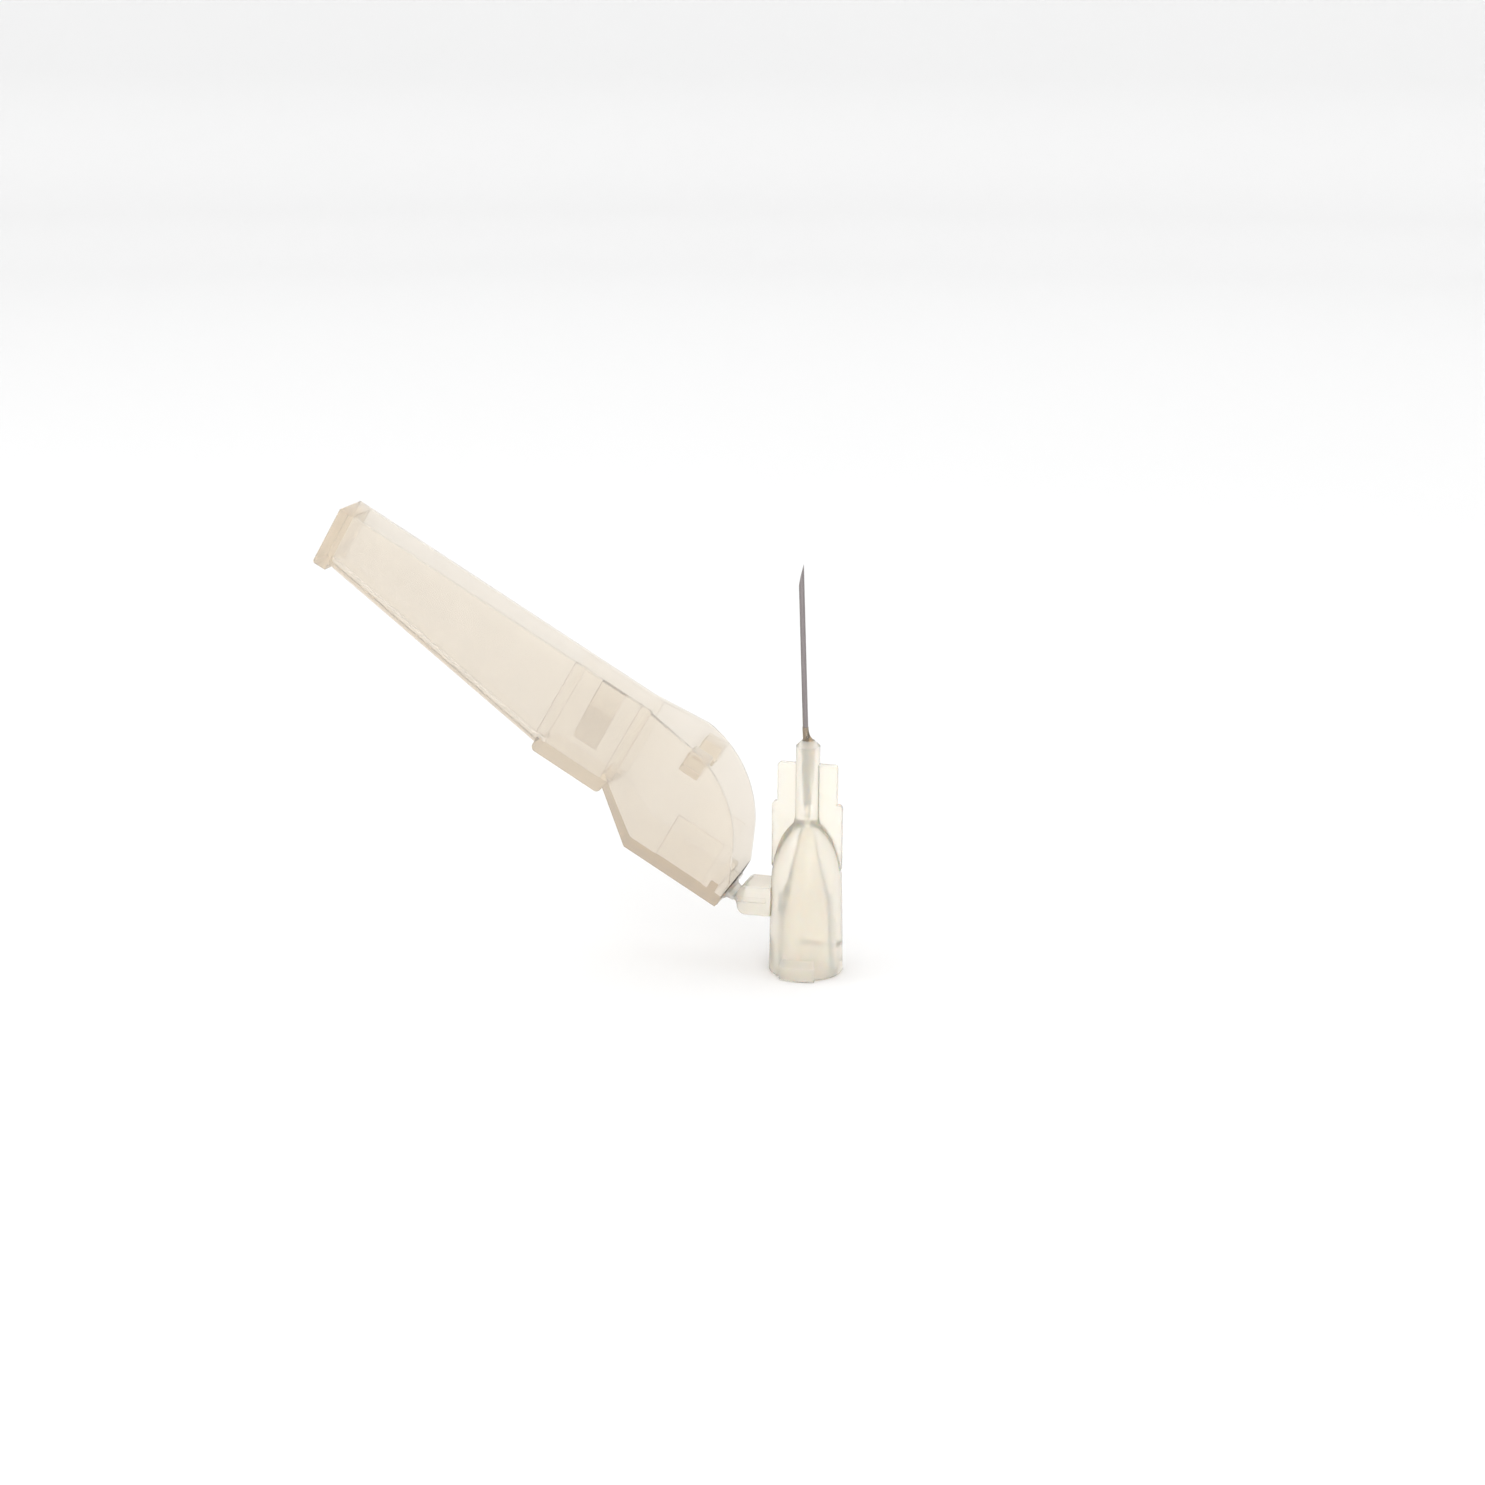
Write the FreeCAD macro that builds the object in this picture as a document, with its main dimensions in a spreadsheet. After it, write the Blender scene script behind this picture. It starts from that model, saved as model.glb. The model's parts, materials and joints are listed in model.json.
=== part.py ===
import FreeCAD, Part
import math
import os
import re

import Sketcher

# Safety hypodermic needle: a luer hub with its bonded steel cannula and a
# hinged guard that swings over the point after use.
# Frame: origin at the centre of the hub's open end, +Z along the cannula,
# the guard swings in the XZ plane and hangs on the -X side, +Y is across it.
# The guard is drawn shut, standing over its hinge: X is its depth, from the
# back (-) to the open side (+), and Z is its height above the hinge line.

SIZES = [
    # hub, a body of revolution round Z
    ("hub_base_radius", 3.42, "outer radius at the open end"),
    ("hub_body_radius", 3.25, "outer radius where the shoulder starts"),
    ("shoulder_start", 8.2, "height where the shoulder starts"),
    ("shoulder_rise", 5.8, "height of the rounded shoulder"),
    ("shoulder_knee", 3.7, "height of its gentle lower part"),
    ("shoulder_draw", 0.63, "radius lost over that lower part"),
    ("shoulder_nose", 5.33, "profile radius of its upper part"),
    ("neck_radius", 1.1, "radius of the neck"),
    ("neck_root", 0.16, "how much wider the neck is at its foot"),
    ("neck_top", 21.75, "height of the neck's rim"),
    ("neck_chamfer", 0.5, "cone round the neck's rim"),
    ("rim_round", 0.15, "rounding of the open rim"),
    # female luer socket, 6 % taper on the diameter
    ("socket_radius", 2.15, "socket radius at its mouth"),
    ("socket_taper", 0.03, "radius lost per unit of depth"),
    ("socket_depth", 7.3, "depth of the taper"),
    ("chamber_step", 0.22, "ring step at the bottom of the taper"),
    ("chamber_top", 13.2, "height where the flow chamber ends"),
    ("chamber_end_radius", 0.5, "radius at the top of the chamber"),
    ("passage_radius", 0.2, "flow passage under the cannula"),
    # connection lugs
    ("lug_radius", 3.9, "outer radius over the two lugs"),
    ("lug_angle", 52, "angle that a lug spans"),
    ("lug_face", 1.3, "height of the lug's outer face"),
    ("lug_height", 2.1, "height of the lug where it meets the hub"),
    # stiffening fin, a thin plate on both sides of the neck
    ("fin_thickness", 0.7, "thickness of the fin"),
    ("fin_low_reach", 3.25, "reach of the fin's lower step"),
    ("fin_low_top", 15.9, "top of the lower step"),
    ("fin_top_reach", 2.75, "reach of the fin's upper step"),
    ("fin_top", 19.6, "top of the fin"),
    ("fin_corner", 0.3, "rounding of the fin's corners"),
    ("fin_foot", 9.6, "where the fin runs out in the shoulder"),
    # hinge arm and the film hinge
    ("hinge_reach", 6.6, "hinge line to the hub's axis"),
    ("hinge_height", 6.8, "height of the hinge line"),
    ("arm_width", 3.8, "width of the arm"),
    ("arm_rise", 1.3, "arm above the hinge line"),
    ("arm_drop", 1.45, "arm below the hinge line"),
    ("arm_gap", 0.5, "arm's end to the hinge line"),
    ("arm_round", 0.9, "rounding of the arm's end"),
    ("groove_height", 0.45, "height of the groove in the arm's sides"),
    ("groove_depth", 0.18, "depth of that groove"),
    ("film_thickness", 0.35, "thickness of the hinge film"),
    ("film_width", 3.4, "width of the hinge film"),
    ("film_clearance", 0.03, "gap at the fold line of the film"),
    # cannula and its bond
    ("cannula_radius", 0.25, "outer radius, 25 gauge"),
    ("cannula_bore", 0.13, "bore radius"),
    ("cannula_foot", 15.8, "height of its lower end in the hub"),
    ("cannula_length", 22.0, "whole length of the tube"),
    ("cannula_lean", 2.2, "lean towards the guard, degrees"),
    ("bevel_length", 2.05, "length of the ground point"),
    ("bond_clearance", 0.03, "gap between tube and bore at its foot"),
    ("well_foot", 18.6, "height where the glue well starts"),
    ("well_foot_radius", 0.42, "radius of the glue well at its foot"),
    ("well_radius", 0.52, "radius of the glue well at the rim"),
    ("bead_shoulder", 0.35, "height of the bead's cone over the rim"),
    ("bead_height", 1.2, "height that the bead climbs over the rim"),
    ("bead_skin", 0.03, "thickness of the bead where it runs out"),
    # guard, drawn shut and swung open by the angle below
    ("open_angle", 60, "swing from shut to the modelled pose, degrees"),
    ("guard_length", 49.2, "hinge line to the guard's tip"),
    ("open_edge", 11.03, "depth of the open edge"),
    ("bulb_width", 8.16, "outer width of the wide end"),
    ("bulb_wall", 0.58, "wall at the wide end"),
    ("bulb_back", 0.67, "back of the wide end behind the hinge line"),
    ("bulb_floor", 1.0, "thickness of the back there"),
    ("bulb_top", 10.7, "height where the wide end starts to narrow"),
    ("edge_radius", 10.9, "radius of the rounded open edge"),
    ("edge_foot", 0.96, "lowest point of that circle"),
    ("wall_knee", 1.9, "depth where the side walls' foot ends"),
    ("edge_start", 4.3, "depth where the circle takes over from a straight edge"),
    ("lip_start", 0.65, "hinge line to the guard's end"),
    ("lip_bevel", 0.3, "bevel of that end"),
    ("flare_top", 16.1, "height where the narrow part starts"),
    ("flare_back", 2.87, "depth of the back at that height"),
    ("flare_floor", 0.63, "thickness of the back at that height"),
    ("channel_width", 4.8, "outer width of the narrow part"),
    ("catch_start", 15.4, "lower end of the catch block"),
    ("catch_top", 22.95, "upper end of the catch block"),
    ("catch_step", 22.2, "height where its cavity ends"),
    ("catch_back", 1.6, "depth of its back"),
    ("catch_floor", 1.15, "thickness of its back"),
    ("catch_wall", 0.75, "thickness of its side walls"),
    ("catch_round", 0.5, "rounding of its back corners"),
    ("channel_back_low", 1.72, "depth of the channel's back at its foot"),
    ("channel_back_tip", 5.35, "depth of the channel's back at the tip"),
    ("channel_round", 2.0, "outer rounding of the channel's back"),
    ("channel_wall", 0.55, "wall of the channel"),
    ("channel_floor", 0.6, "thickness of the channel's back"),
    ("end_wall", 1.4, "thickness of the tip's end wall"),
    ("end_back", 5.17, "depth of the end wall's back"),
    ("end_round", 0.3, "rounding of the end wall's corners"),
    ("liner_thickness", 0.25, "thickening inside the wide end"),
    ("liner_start", 2.9, "lower end of that thickening"),
    ("liner_top", 7.9, "its upper end"),
    ("liner_front", 4.75, "its front edge"),
    ("rib_length", 1.1, "length along the guard of the ribs at both ends of the catch block"),
    ("rib_thickness", 0.3, "how far they stand in from the channel's wall"),
    ("peg_size", 1.95, "side of the square lock pegs"),
    ("peg_height", 9.1, "height of their centre"),
    ("peg_depth", 9.43, "depth of their centre"),
    ("peg_clearance", 0.2, "side gap between a peg and the neck"),
    ("tongue_start", 17.8, "lower end of the catch tongue"),
    ("tongue_length", 2.55, "its length along the guard"),
    ("tongue_thickness", 0.4, "its thickness"),
    ("tongue_root", 10.8, "depth of its root at the open edge"),
    ("tongue_tip", 4.4, "depth of its free end"),
    ("tongue_clearance", 0.1, "gap between its end and the cannula"),
    ("stop_start", 1.5, "lower face of the stop bar"),
    ("stop_length", 0.8, "its length along the guard"),
    ("stop_depth", 1.2, "depth of its top"),
]

SHEET = "Sizes"
NEAR = 0.02     # how close two coordinates are when they count as the same
MARGIN = 0.1    # how far past a back corner its edges are looked for
ALIASES = {alias for alias, value, note in SIZES}

doc = FreeCAD.newDocument("safety_needle")


def make_sheet():
    """Write the driving dimensions into the sheet, one row each."""
    sheet = doc.addObject("Spreadsheet::Sheet", SHEET)
    for row, (alias, value, note) in enumerate(SIZES, start=1):
        sheet.set("A%d" % row, note)
        sheet.set("B%d" % row, str(value))
        sheet.setAlias("B%d" % row, alias)
    doc.recompute()
    return sheet


def bound(text):
    """Turn a formula of plain size names into one that names the sheet."""
    return re.sub(r"[a-z_]+", lambda m: SHEET + "." + m[0] if m[0] in ALIASES else m[0], str(text))


def value_of(obj, text):
    """The number that a formula of size names gives."""
    result = obj.evalExpression(bound(text))
    return float(getattr(result, "Value", result))


def new_body(name):
    body = doc.addObject("PartDesign::Body", name)
    body.Label = name
    return body


def origin_item(body, role):
    return [item for item in body.Origin.OriginFeatures if item.Role == role][0]


def new_sketch(body, name, plane, offset=None):
    """A sketch on one of the body's own origin planes, lifted by a formula."""
    sketch = body.newObject("Sketcher::SketchObject", name)
    sketch.AttachmentSupport = [(origin_item(body, plane), "")]
    sketch.MapMode = "FlatFace"
    if offset is not None:
        sketch.setExpression("AttachmentOffset.Base.z", bound(offset))
        doc.recompute()
    return sketch


def pin_point(sketch, geometry, point, x, y, tag):
    """Tie a point to its two coordinates, each a formula of sizes."""
    for axis, text, line in (("DistanceX", x, -2), ("DistanceY", y, -1)):
        if str(text) == "0":
            sketch.addConstraint(Sketcher.Constraint("PointOnObject", geometry, point, line))
            continue
        place = value_of(sketch, text)
        index = sketch.addConstraint(Sketcher.Constraint(axis, -1, 1, geometry, point, place))
        name = "%s_%s" % (tag, axis[-1].lower())
        sketch.renameConstraint(index, name)
        sketch.setExpression("Constraints." + name, bound(text))


def arc_between(start, end, radius, turn):
    """The short arc from start to end; turn is 1 for anticlockwise."""
    chord = end - start
    middle = (start + end) * 0.5
    lift = math.sqrt(max(radius ** 2 - chord.Length ** 2 / 4, 0))
    side = FreeCAD.Vector(-chord.y, chord.x, 0).normalize() * turn
    centre = middle + side * lift
    circle = Part.Circle(centre, FreeCAD.Vector(0, 0, 1), radius)
    first, last = (start, end) if turn > 0 else (end, start)
    angles = [math.atan2(p.y - centre.y, p.x - centre.x) for p in (first, last)]
    return Part.ArcOfCircle(circle, angles[0], angles[1])


def draw_outline(sketch, corners, bends=None):
    """Close an outline through corners, each a pair of formulas.

    bends gives the sides that are arcs: index of the side, then its radius
    and 1 for an anticlockwise or -1 for a clockwise turn.
    """
    bends = bends or {}
    points = [FreeCAD.Vector(value_of(sketch, x), value_of(sketch, y), 0) for x, y in corners]
    ends = []
    for i, start in enumerate(points):
        end = points[(i + 1) % len(points)]
        if i in bends:
            radius, turn = bends[i]
            arc = arc_between(start, end, value_of(sketch, radius), turn)
            sketch.addGeometry(arc, False)
            ends.append((1, 2) if turn > 0 else (2, 1))
        else:
            sketch.addGeometry(Part.LineSegment(start, end), False)
            ends.append((1, 2))
    for i in range(len(points)):
        j = (i + 1) % len(points)
        sketch.addConstraint(Sketcher.Constraint("Coincident", i, ends[i][1], j, ends[j][0]))
    for i, (x, y) in enumerate(corners):
        pin_point(sketch, i, ends[i][0], x, y, "corner%d" % i)
    for i, (radius, turn) in bends.items():
        index = sketch.addConstraint(Sketcher.Constraint("Radius", i, value_of(sketch, radius)))
        sketch.renameConstraint(index, "bend%d" % i)
        sketch.setExpression("Constraints.bend%d" % i, bound(radius))
    doc.recompute()
    return sketch


def draw_circle(sketch, x, y, radius, tag="ring"):
    """A circle whose centre and radius are formulas."""
    centre = FreeCAD.Vector(value_of(sketch, x), value_of(sketch, y), 0)
    circle = Part.Circle(centre, FreeCAD.Vector(0, 0, 1), value_of(sketch, radius))
    index = sketch.addGeometry(circle, False)
    pin_point(sketch, index, 3, x, y, tag)
    size = sketch.addConstraint(Sketcher.Constraint("Radius", index, value_of(sketch, radius)))
    sketch.renameConstraint(size, tag + "_radius")
    sketch.setExpression("Constraints.%s_radius" % tag, bound(radius))
    doc.recompute()
    return sketch


def draw_box(sketch, x_low, x_high, y_low, y_high):
    """An upright rectangle between four formulas."""
    return draw_outline(sketch, [(x_low, y_low), (x_high, y_low), (x_high, y_high), (x_low, y_high)])


def checked(feature):
    """Recompute and stop on a feature that failed."""
    doc.recompute()
    if "Invalid" in feature.State or "Error" in feature.State or feature.Shape.isNull():
        raise RuntimeError("failed: " + feature.Name)
    return feature


def pad(body, name, sketch, length, symmetric=True, reverse=False):
    feature = body.newObject("PartDesign::Pad", name)
    feature.Profile = sketch
    feature.SideType = "Symmetric" if symmetric else "One side"
    feature.Reversed = reverse
    feature.setExpression("Length", bound(length))
    return checked(feature)


def pocket(body, name, sketch, length, symmetric=True, reverse=False):
    before = body.Shape.Volume
    feature = body.newObject("PartDesign::Pocket", name)
    feature.Profile = sketch
    feature.SideType = "Symmetric" if symmetric else "One side"
    feature.Reversed = reverse
    feature.setExpression("Length", bound(length))
    checked(feature)
    if not feature.Shape.Volume < before:
        raise RuntimeError("cuts nothing: " + name)
    return feature


def turned(body, name, kind, sketch, angle=360):
    """A revolution or a groove about the body's own Z axis."""
    feature = body.newObject("PartDesign::" + kind, name)
    feature.Profile = sketch
    feature.ReferenceAxis = (origin_item(body, "Z_Axis"), [""])
    feature.Midplane = True
    feature.setExpression("Angle", bound(angle))
    return checked(feature)


def loft(body, name, kind, sections):
    feature = body.newObject("PartDesign::" + kind, name)
    feature.Profile = sections[0]
    feature.Sections = sections[1:]
    feature.Ruled = True
    return checked(feature)


def mirrored(body, name, feature, plane):
    """Repeat a feature on the other side of one of the body's planes."""
    mirror = body.newObject("PartDesign::Mirrored", name)
    mirror.Originals = [feature]
    mirror.MirrorPlane = (origin_item(body, plane), [""])
    body.Tip = mirror
    return checked(mirror)


def fillet(body, name, test, radius):
    """Round the edges of the body that pass a test on their end points."""
    shape = body.Shape
    edges = ["Edge%d" % (i + 1) for i, edge in enumerate(shape.Edges) if test(edge)]
    if not edges:
        raise RuntimeError("no edges: " + name)
    base = body.Tip
    feature = body.newObject("PartDesign::Fillet", name)
    feature.Base = (base, edges)
    feature.setExpression("Radius", bound(radius))
    return checked(feature)


def near(value, target):
    return abs(value - target) < NEAR


def make_hub():
    """Hub: turned outside, lugs, fin and hinge arm, then the hollow inside."""
    body = new_body("hub")
    shoulder_top = "(shoulder_start + shoulder_rise)"
    neck_foot_radius = "(neck_radius + neck_root)"
    shoulder_radius = "(shoulder_draw^2 + shoulder_knee^2) / (2 * shoulder_draw)"

    outside = draw_outline(
        new_sketch(body, "hub_outside", "XZ_Plane"),
        [
            ("0", "0"),
            ("hub_base_radius - rim_round", "0"),
            ("hub_base_radius", "rim_round"),
            ("hub_body_radius", "shoulder_start"),
            ("hub_body_radius - shoulder_draw", "shoulder_start + shoulder_knee"),
            (neck_foot_radius, shoulder_top),
            ("neck_radius", shoulder_top + " + 4 * neck_root"),
            ("neck_radius", "neck_top - neck_chamfer"),
            ("neck_radius - neck_chamfer", "neck_top"),
            ("0", "neck_top"),
        ],
        {3: (shoulder_radius, 1), 4: ("shoulder_nose", 1)},
    )
    turned(body, "hub_turned", "Revolution", outside)

    lug = draw_outline(
        new_sketch(body, "lug_section", "YZ_Plane"),
        [
            ("hub_body_radius - rim_round", "0"),
            ("lug_radius - rim_round", "0"),
            ("lug_radius", "rim_round"),
            ("lug_radius", "lug_face"),
            ("hub_body_radius - rim_round", "lug_height + rim_round"),
        ],
    )
    lug_feature = turned(body, "lug", "Revolution", lug, "lug_angle")
    pair = body.newObject("PartDesign::PolarPattern", "lug_pair")
    pair.Originals = [lug_feature]
    pair.Axis = (origin_item(body, "Z_Axis"), [""])
    pair.Angle = 360
    pair.Occurrences = 2
    body.Tip = pair
    checked(pair)

    corner = "fin_corner"
    fin = draw_outline(
        new_sketch(body, "fin_plate", "XZ_Plane"),
        [
            ("-hub_body_radius + rim_round", "fin_foot"),
            ("hub_body_radius - rim_round", "fin_foot"),
            ("fin_low_reach", "fin_foot + %s" % corner),
            ("fin_low_reach", "fin_low_top - %s" % corner),
            ("fin_low_reach - %s" % corner, "fin_low_top"),
            ("fin_top_reach", "fin_low_top"),
            ("fin_top_reach", "fin_top - %s" % corner),
            ("fin_top_reach - %s" % corner, "fin_top"),
            ("-fin_top_reach + %s" % corner, "fin_top"),
            ("-fin_top_reach", "fin_top - %s" % corner),
            ("-fin_top_reach", "fin_low_top"),
            ("-fin_low_reach + %s" % corner, "fin_low_top"),
            ("-fin_low_reach", "fin_low_top - %s" % corner),
            ("-fin_low_reach", "fin_foot + %s" % corner),
        ],
        {3: (corner, 1), 6: (corner, 1), 8: (corner, 1), 11: (corner, 1)},
    )
    pad(body, "fin", fin, "fin_thickness")

    low = "(hinge_height - arm_drop)"
    high = "(hinge_height + arm_rise)"
    end = "(-hinge_reach + arm_gap)"
    root = "(-hub_body_radius + 2 * rim_round)"
    arm = draw_outline(
        new_sketch(body, "arm_side", "XZ_Plane"),
        [
            (root, high),
            (end + " + arm_round", high),
            (end, high + " - arm_round"),
            (end, low + " + arm_round"),
            (end + " + arm_round", low),
            (root, low),
        ],
        {1: ("arm_round", 1), 3: ("arm_round", 1)},
    )
    pad(body, "arm", arm, "arm_width")
    groove = draw_box(
        new_sketch(body, "arm_groove_end", "YZ_Plane", end),
        "arm_width / 2 - groove_depth", "arm_width / 2 + groove_depth",
        "hinge_height - groove_height / 2", "hinge_height + groove_height / 2",
    )
    cut = pocket(body, "arm_groove", groove, "hinge_reach - arm_gap - hub_body_radius - rim_round",
                 symmetric=False, reverse=True)
    mirrored(body, "arm_groove_pair", cut, "XZ_Plane")

    # The film is moulded in one with arm and guard. Here it is parted at its
    # fold line, where this half ends in a round nose centred on that line.
    nose = "film_thickness / 2"
    film = draw_outline(
        new_sketch(body, "film_arm_half", "XZ_Plane"),
        [
            (end + " + arm_round / 2", "hinge_height + " + nose),
            ("-hinge_reach", "hinge_height + " + nose),
            ("-hinge_reach - " + nose, "hinge_height"),
            ("-hinge_reach", "hinge_height - " + nose),
            (end + " + arm_round / 2", "hinge_height - " + nose),
        ],
        {1: (nose, 1), 2: (nose, 1)},
    )
    pad(body, "film_arm", film, "film_width")

    socket_end = "(socket_radius - socket_taper * socket_depth)"
    seat = "(cannula_radius + bond_clearance)"
    inside = draw_outline(
        new_sketch(body, "hub_inside", "XZ_Plane"),
        [
            ("0", "0"),
            ("socket_radius", "0"),
            (socket_end, "socket_depth"),
            (socket_end + " - chamber_step", "socket_depth"),
            ("chamber_end_radius", "chamber_top"),
            ("passage_radius", "chamber_top + chamber_end_radius"),
            ("passage_radius", "cannula_foot"),
            (seat, "cannula_foot"),
            ("well_foot_radius", "well_foot"),
            ("well_radius", "neck_top"),
            ("0", "neck_top"),
        ],
    )
    before = body.Shape.Volume
    turned(body, "hub_hollow", "Groove", inside)
    if not body.Shape.Volume < before:
        raise RuntimeError("cuts nothing: hub_hollow")
    return body


def set_on_bond(obj):
    """Stand a tube on its foot in the hub, leaning towards the guard."""
    obj.setExpression("Placement.Base.z", bound("cannula_foot"))
    obj.Placement.Rotation = FreeCAD.Rotation(FreeCAD.Vector(0, -1, 0), 1)
    obj.setExpression("Placement.Rotation.Angle", bound("cannula_lean") + " * 1 deg")


def make_cannula():
    """Steel tube, ground to a lancet point whose face looks at the guard."""
    body = new_body("cannula")
    ring = new_sketch(body, "tube_section", "XY_Plane")
    draw_circle(ring, "0", "0", "cannula_radius", "outside")
    draw_circle(ring, "0", "0", "cannula_bore", "bore")
    pad(body, "tube", ring, "cannula_length", symmetric=False)
    point = draw_outline(
        new_sketch(body, "bevel_side", "XZ_Plane"),
        [
            ("cannula_radius", "cannula_length"),
            ("-3 * cannula_radius", "cannula_length"),
            ("-3 * cannula_radius", "cannula_length - 2 * bevel_length"),
        ],
    )
    pocket(body, "bevel", point, "4 * cannula_radius")
    set_on_bond(body)
    return body


def make_bead():
    """Adhesive: fills the well in the neck and climbs the tube in a cone."""
    form = new_body("bead_form")
    rim = draw_circle(new_sketch(form, "rim_ring", "XY_Plane", "neck_top"), "0", "0", "well_radius")
    foot = draw_circle(new_sketch(form, "foot_ring", "XY_Plane", "well_foot"), "0", "0", "well_foot_radius")
    loft(form, "well_fill", "AdditiveLoft", [foot, rim])
    lean_at = "-(%s - cannula_foot) * tan(cannula_lean * 1 deg)"
    base = draw_circle(new_sketch(form, "cone_base", "XY_Plane", "neck_top"), "0", "0", "well_radius")
    shoulder_level = "neck_top + bead_shoulder"
    top_level = "neck_top + bead_height"
    shoulder = draw_circle(
        new_sketch(form, "cone_shoulder", "XY_Plane", shoulder_level),
        lean_at % shoulder_level, "0", "cannula_radius + 3 * bead_skin")
    top = draw_circle(
        new_sketch(form, "cone_top", "XY_Plane", top_level),
        lean_at % top_level, "0", "cannula_radius + bead_skin")
    loft(form, "cone", "AdditiveLoft", [base, shoulder, top])
    tube = doc.addObject("Part::Cylinder", "tube_space")
    tube.setExpression("Radius", bound("cannula_radius"))
    tube.setExpression("Height", bound("cannula_length"))
    set_on_bond(tube)
    bead = doc.addObject("Part::Cut", "adhesive_bead")
    bead.Label = "adhesive_bead"
    bead.Base = form
    bead.Tool = tube
    return checked(bead)


def guard_shell(body):
    """The guard's outer form: channel, catch block, flare, wide end, tip."""
    channel = draw_outline(
        new_sketch(body, "channel_side", "XZ_Plane"),
        [
            ("channel_back_low", "catch_top"),
            ("open_edge", "catch_top"),
            ("open_edge", "guard_length"),
            ("channel_back_tip", "guard_length"),
        ],
    )
    pad(body, "channel", channel, "channel_width")
    half = value_of(body, "channel_width / 2")
    back_limit = value_of(body, "channel_back_tip") + MARGIN

    def is_back_edge(edge):
        ends = [vertex.Point for vertex in edge.Vertexes]
        along = len(ends) == 2 and abs(ends[0].z - ends[1].z) > half
        return along and all(near(abs(p.y), half) and p.x < back_limit for p in ends)

    fillet(body, "channel_back", is_back_edge, "channel_round")

    catch = draw_outline(
        new_sketch(body, "catch_side", "XZ_Plane"),
        [
            ("catch_back + catch_round", "catch_start"),
            ("open_edge", "catch_start"),
            ("open_edge", "catch_top"),
            ("catch_back + catch_round", "catch_top"),
            ("catch_back", "catch_top - catch_round"),
            ("catch_back", "catch_start + catch_round"),
        ],
        {3: ("catch_round", 1), 5: ("catch_round", 1)},
    )
    pad(body, "catch_block", catch, "channel_width")

    wide = draw_box(new_sketch(body, "flare_foot", "XY_Plane", "bulb_top"),
                    "-bulb_back", edge_depth("bulb_top"), "-bulb_width / 2", "bulb_width / 2")
    narrow = draw_box(new_sketch(body, "flare_head", "XY_Plane", "flare_top"),
                      "flare_back", "open_edge", "-channel_width / 2", "channel_width / 2")
    loft(body, "flare", "AdditiveLoft", [wide, narrow])

    wall_foot = "(lip_start + lip_bevel / 3)"
    bulb = draw_outline(
        new_sketch(body, "bulb_side", "XZ_Plane"),
        [
            ("-bulb_back", wall_foot),
            ("wall_knee", wall_foot),
            ("edge_start", edge_height("edge_start")),
            (edge_depth("bulb_top"), "bulb_top"),
            ("-bulb_back", "bulb_top"),
        ],
        {2: ("edge_radius", 1)},
    )
    pad(body, "bulb", bulb, "bulb_width")

    tip = draw_outline(
        new_sketch(body, "end_side", "XZ_Plane"),
        [
            ("end_back", "guard_length - end_wall"),
            ("open_edge", "guard_length - end_wall"),
            ("open_edge", "guard_length - end_round"),
            ("open_edge - end_round", "guard_length"),
            ("end_back + end_round", "guard_length"),
            ("end_back", "guard_length - end_round"),
        ],
        {2: ("end_round", 1), 4: ("end_round", 1)},
    )
    pad(body, "end_plate", tip, "channel_width")


def edge_depth(height):
    """Depth of the rounded open edge of the wide end at a height."""
    return "(open_edge - edge_radius + sqrt(edge_radius^2 - (edge_foot + edge_radius - %s)^2))" % height


def edge_height(depth):
    """Height of the rounded open edge of the wide end at a depth."""
    return "(edge_foot + edge_radius - sqrt(edge_radius^2 - (%s - open_edge + edge_radius)^2))" % depth


def guard_hollow(body):
    """Hollow the guard out from its open side."""
    outside = "open_edge + bulb_wall"
    channel = draw_outline(
        new_sketch(body, "channel_hollow_side", "XZ_Plane"),
        [
            ("channel_back_low + channel_floor", "catch_step"),
            (outside, "catch_step"),
            (outside, "guard_length - end_wall"),
            ("channel_back_tip + channel_floor", "guard_length - end_wall"),
        ],
    )
    pocket(body, "channel_hollow", channel, "channel_width - 2 * channel_wall")
    half = value_of(body, "channel_width / 2 - channel_wall")
    back_limit = value_of(body, "channel_back_tip + channel_floor") + MARGIN
    step = value_of(body, "catch_step")

    def is_floor_edge(edge):
        ends = [vertex.Point for vertex in edge.Vertexes]
        along = len(ends) == 2 and abs(ends[0].z - ends[1].z) > half
        return along and all(near(abs(p.y), half) and p.x < back_limit and p.z > step - MARGIN for p in ends)

    fillet(body, "channel_floor_rounds", is_floor_edge, "channel_round - channel_wall")

    catch = draw_box(new_sketch(body, "catch_hollow_side", "XZ_Plane"),
                     "catch_back + catch_floor", outside, "flare_top", "catch_step")
    pocket(body, "catch_hollow", catch, "channel_width - 2 * catch_wall")

    inner_half = "(bulb_width / 2 - bulb_wall)"
    catch_half = "(channel_width / 2 - catch_wall)"
    wide = draw_box(new_sketch(body, "flare_hollow_foot", "XY_Plane", "bulb_top"),
                    "bulb_floor - bulb_back", outside, "-" + inner_half, inner_half)
    narrow = draw_box(new_sketch(body, "flare_hollow_head", "XY_Plane", "flare_top"),
                      "flare_back + flare_floor", outside, "-" + catch_half, catch_half)
    loft(body, "flare_hollow", "SubtractiveLoft", [wide, narrow])

    bulb = draw_box(new_sketch(body, "bulb_hollow_side", "XZ_Plane"),
                    "bulb_floor - bulb_back", outside, "0", "bulb_top")
    pocket(body, "bulb_hollow", bulb, "2 * " + inner_half)


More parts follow.
